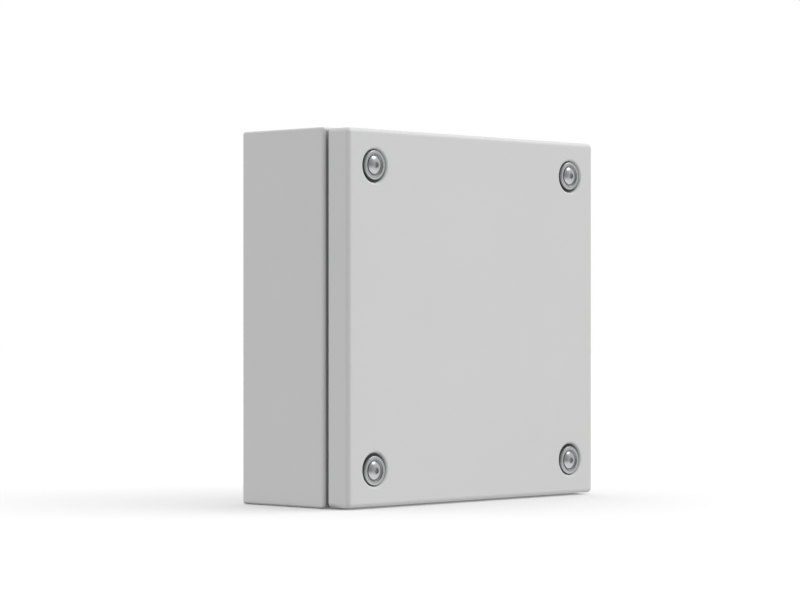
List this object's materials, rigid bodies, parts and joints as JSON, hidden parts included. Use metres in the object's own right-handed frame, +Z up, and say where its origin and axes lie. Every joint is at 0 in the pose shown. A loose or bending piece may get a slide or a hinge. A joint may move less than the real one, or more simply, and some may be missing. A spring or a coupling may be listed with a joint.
{
  "type": "terminal box",
  "caption": "Square wall-mounting terminal box of folded, powder-coated sheet steel, with a pressed lid held by captive cover screws at its corners.",
  "frame": {"origin": "middle of the bounding box's underside, where the box stands on its lower wall", "axes": "+X to the right across the lid, +Y from the lid to the wall, +Z up"},
  "size_m": [0.2, 0.081, 0.2],
  "materials": {
    "case_paint": "light grey powder coat, fine texture, semi-matt",
    "bright_metal": "bright nickel-plated steel, turned and polished",
    "zinc_parts": "zinc-plated steel, passivated, satin",
    "brass_parts": "turned brass, satin",
    "black_rubber": "moulded black rubber, matt",
    "foam_seal": "foamed seal, closed skin, matt",
    "plug_plastic": "moulded grey plastic, matt"
  },
  "bodies": {
    "enclosure": {"enclosure_body": "case_paint", "case_earth_stud": "brass_parts", "case_earth_washer": "zinc_parts", "case_earth_nut": "zinc_parts", "corner_bracket_1": "zinc_parts", "corner_bracket_2": "zinc_parts", "corner_bracket_3": "zinc_parts", "corner_bracket_4": "zinc_parts", "nut_bush_1": "zinc_parts", "nut_bush_2": "zinc_parts", "nut_bush_3": "zinc_parts", "nut_bush_4": "zinc_parts", "mounting_stud_1": "zinc_parts", "mounting_stud_2": "zinc_parts", "mounting_stud_3": "zinc_parts", "mounting_stud_4": "zinc_parts", "wall_plug_1": "plug_plastic", "wall_plug_2": "plug_plastic", "wall_plug_3": "plug_plastic", "wall_plug_4": "plug_plastic"},
    "lid": {"lid": "case_paint", "lid_seal": "foam_seal", "lid_earth_stud": "brass_parts", "lid_earth_washer": "zinc_parts", "lid_earth_nut": "zinc_parts", "cup_washer_1": "bright_metal", "cup_washer_2": "bright_metal", "cup_washer_3": "bright_metal", "cup_washer_4": "bright_metal", "sealing_washer_1": "black_rubber", "sealing_washer_2": "black_rubber", "sealing_washer_3": "black_rubber", "sealing_washer_4": "black_rubber"},
    "screw_1": {"lid_screw_1": "bright_metal", "retaining_washer_1": "zinc_parts"},
    "screw_2": {"lid_screw_2": "bright_metal", "retaining_washer_2": "zinc_parts"},
    "screw_3": {"lid_screw_3": "bright_metal", "retaining_washer_3": "zinc_parts"},
    "screw_4": {"lid_screw_4": "bright_metal", "retaining_washer_4": "zinc_parts"}
  },
  "joints": [
    {"name": "lid_lift", "type": "slide", "parent": "enclosure", "child": "lid", "axis": [0, -1, 0], "range_m": [0, 0.06]},
    {"name": "screw_1_turn", "type": "hinge", "parent": "lid", "child": "screw_1", "pos_m": [-0.0791, -0.0405, 0.1802], "axis": [0, 1, 0], "continuous": true},
    {"name": "screw_2_turn", "type": "hinge", "parent": "lid", "child": "screw_2", "pos_m": [0.0791, -0.0405, 0.1802], "axis": [0, 1, 0], "continuous": true},
    {"name": "screw_3_turn", "type": "hinge", "parent": "lid", "child": "screw_3", "pos_m": [-0.0791, -0.0405, 0.0198], "axis": [0, 1, 0], "continuous": true},
    {"name": "screw_4_turn", "type": "hinge", "parent": "lid", "child": "screw_4", "pos_m": [0.0791, -0.0405, 0.0198], "axis": [0, 1, 0], "continuous": true}
  ]
}
